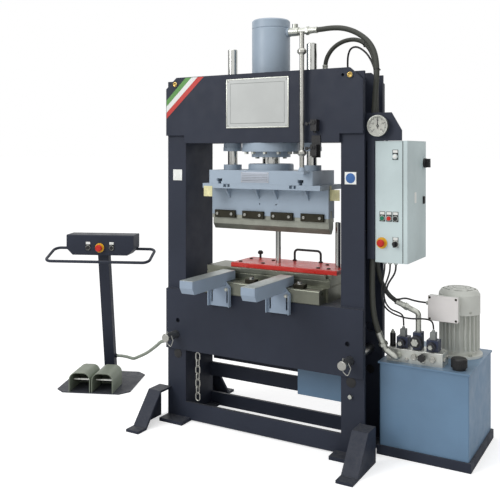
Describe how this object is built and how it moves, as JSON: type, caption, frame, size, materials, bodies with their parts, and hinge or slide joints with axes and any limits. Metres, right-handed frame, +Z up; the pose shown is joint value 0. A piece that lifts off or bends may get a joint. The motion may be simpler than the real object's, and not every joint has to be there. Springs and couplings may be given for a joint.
{
  "type": "hydraulic press",
  "caption": "Workshop hydraulic press: two-column frame, overhead cylinder, guided platen with punch bar, slotted table, switch cabinet, power unit and foot pedestal",
  "frame": {"origin": "On the floor, under the middle of the whole row's bounding box", "axes": "+Z up, +X along the press frame towards the power unit, -Y towards the operator"},
  "size_m": [2.9692, 1.038, 2.405],
  "materials": {
    "navy_paint": "satin",
    "light_blue_paint": "satin",
    "arm_blue_paint": "satin",
    "tank_blue_paint": "satin",
    "cabinet_paint": "fine texture",
    "motor_paint": "satin",
    "red_paint": "gloss",
    "pedal_paint": "satin",
    "board_paint": "satin",
    "chrome": "polished",
    "machined_steel": "ground",
    "bright_steel": "bright",
    "dark_steel": "blackened",
    "manifold_alloy": "machined",
    "valve_body": "phosphated",
    "black_plastic": "matte",
    "green_plastic": "gloss",
    "red_plastic": "gloss",
    "white_dial": "gloss",
    "hose_rubber": "matte",
    "conduit_plastic": "ribbed"
  },
  "bodies": {
    "root": {"left_column": "navy_paint", "right_column": "navy_paint", "head": "navy_paint", "base_frame": "navy_paint", "table_beam": "navy_paint", "table_pins": "bright_steel", "lift_chain": "bright_steel", "name_board": "board_paint", "catch_box": "tank_blue_paint", "frame_bolts": "dark_steel", "table_plate": "machined_steel", "lower_die": "machined_steel", "red_plate": "red_paint", "stop_posts": "chrome", "rear_handle": "black_plastic", "table_clamps": "dark_steel", "cylinder": "light_blue_paint", "guide_bushes": "light_blue_paint", "limit_switches": "black_plastic", "pressure_gauge": "white_dial", "cabinet": "cabinet_paint", "unit_base": "navy_paint", "oil_tank": "tank_blue_paint", "manifold": "manifold_alloy", "valves": "valve_body", "breather_cap": "black_plastic", "motor": "motor_paint", "pump": "dark_steel", "pedestal": "navy_paint", "console": "navy_paint", "pedal_hoods": "pedal_paint", "hose_fittings": "bright_steel", "main_hose": "hose_rubber", "return_hose": "hose_rubber", "cabinet_cable": "hose_rubber", "conduit": "conduit_plastic"},
    "ram": {"platen": "light_blue_paint", "tool_holder": "light_blue_paint", "clamp_plates": "dark_steel", "punch": "machined_steel", "guide_rods": "chrome", "piston_rod": "chrome", "limit_rod": "bright_steel"},
    "left_support_arm": {"left_arm": "arm_blue_paint"},
    "right_support_arm": {"right_arm": "arm_blue_paint"},
    "needle": {"gauge_needle": "black_plastic"},
    "door": {"cabinet_door": "cabinet_paint"},
    "door_switch": {"main_switch": "black_plastic"},
    "green_push": {"green_button": "green_plastic"},
    "red_push": {"red_button": "red_plastic"},
    "black_push": {"black_button": "black_plastic"},
    "cabinet_stop_push": {"cabinet_stop": "red_plastic"},
    "selector": {"selector_knob": "black_plastic"},
    "rotor": {"motor_rotor": "dark_steel"},
    "hand_knob": {"valve_knob": "black_plastic"},
    "console_left_push": {"console_left_button": "black_plastic"},
    "console_right_push": {"console_right_button": "black_plastic"},
    "console_stop_push": {"console_stop": "red_plastic"},
    "left_foot_pedal": {"left_pedal": "bright_steel"},
    "right_foot_pedal": {"right_pedal": "bright_steel"}
  },
  "joints": [
    {"name": "ram_slide", "type": "slide", "parent": "root", "child": "ram", "axis": [0, 0, -1], "range_m": [-0.025, 0.18]},
    {"name": "left_arm_slide", "type": "slide", "parent": "root", "child": "left_support_arm", "axis": [1, 0, 0], "range_m": [-0.1, 0.1]},
    {"name": "right_arm_slide", "type": "slide", "parent": "root", "child": "right_support_arm", "axis": [1, 0, 0], "range_m": [-0.1, 0.025]},
    {"name": "needle_turn", "type": "hinge", "parent": "root", "child": "needle", "pos_m": [1.02364, -0.124, 1.768], "axis": [0, -1, 0], "range_deg": [-130, 130]},
    {"name": "door_hinge", "type": "hinge", "parent": "root", "child": "door", "pos_m": [1.15664, -0.086, 1.367], "axis": [0, 0, -1], "range_deg": [0, 110]},
    {"name": "door_switch_turn", "type": "hinge", "parent": "door", "child": "door_switch", "pos_m": [1.18464, 0.187, 1.569], "axis": [1, 0, 0], "range_deg": [0, 90]},
    {"name": "green_press", "type": "slide", "parent": "root", "child": "green_push", "axis": [0, 1, 0], "range_m": [0, 0.004], "stiffness_N_per_m": 400},
    {"name": "red_press", "type": "slide", "parent": "root", "child": "red_push", "axis": [0, 1, 0], "range_m": [0, 0.004], "stiffness_N_per_m": 400},
    {"name": "black_press", "type": "slide", "parent": "root", "child": "black_push", "axis": [0, 1, 0], "range_m": [0, 0.004], "stiffness_N_per_m": 400},
    {"name": "cabinet_stop_press", "type": "slide", "parent": "root", "child": "cabinet_stop_push", "axis": [0, 1, 0], "range_m": [0, 0.004], "stiffness_N_per_m": 400},
    {"name": "selector_turn", "type": "hinge", "parent": "root", "child": "selector", "pos_m": [1.10964, -0.096, 1.147], "axis": [0, 1, 0], "range_deg": [-45, 45]},
    {"name": "rotor_spin", "type": "hinge", "parent": "root", "child": "rotor", "pos_m": [1.33465, 0.344, 0.62], "axis": [0, 0, 1], "continuous": true},
    {"name": "knob_turn", "type": "hinge", "parent": "root", "child": "hand_knob", "pos_m": [1.22464, -0.006, 0.545], "axis": [0, 1, 0], "range_deg": [-170, 170]},
    {"name": "console_left_press", "type": "slide", "parent": "root", "child": "console_left_push", "axis": [-0.3907, 0.9205, 0], "range_m": [0, 0.004], "stiffness_N_per_m": 400},
    {"name": "console_right_press", "type": "slide", "parent": "root", "child": "console_right_push", "axis": [-0.3907, 0.9205, 0], "range_m": [0, 0.004], "stiffness_N_per_m": 400},
    {"name": "console_stop_press", "type": "slide", "parent": "root", "child": "console_stop_push", "axis": [-0.3907, 0.9205, 0], "range_m": [0, 0.004], "stiffness_N_per_m": 400},
    {"name": "left_pedal_press", "type": "hinge", "parent": "root", "child": "left_foot_pedal", "pos_m": [-1.17441, 0.08274, 0.034], "axis": [0.9205, 0.3907, 0], "range_deg": [0, 10], "stiffness_Nm_per_rad": 60, "springref_deg": -2.86},
    {"name": "right_pedal_press", "type": "hinge", "parent": "root", "child": "right_foot_pedal", "pos_m": [-1.02897, 0.14448, 0.034], "axis": [0.9205, 0.3907, 0], "range_deg": [0, 10], "stiffness_Nm_per_rad": 60, "springref_deg": -2.86}
  ]
}
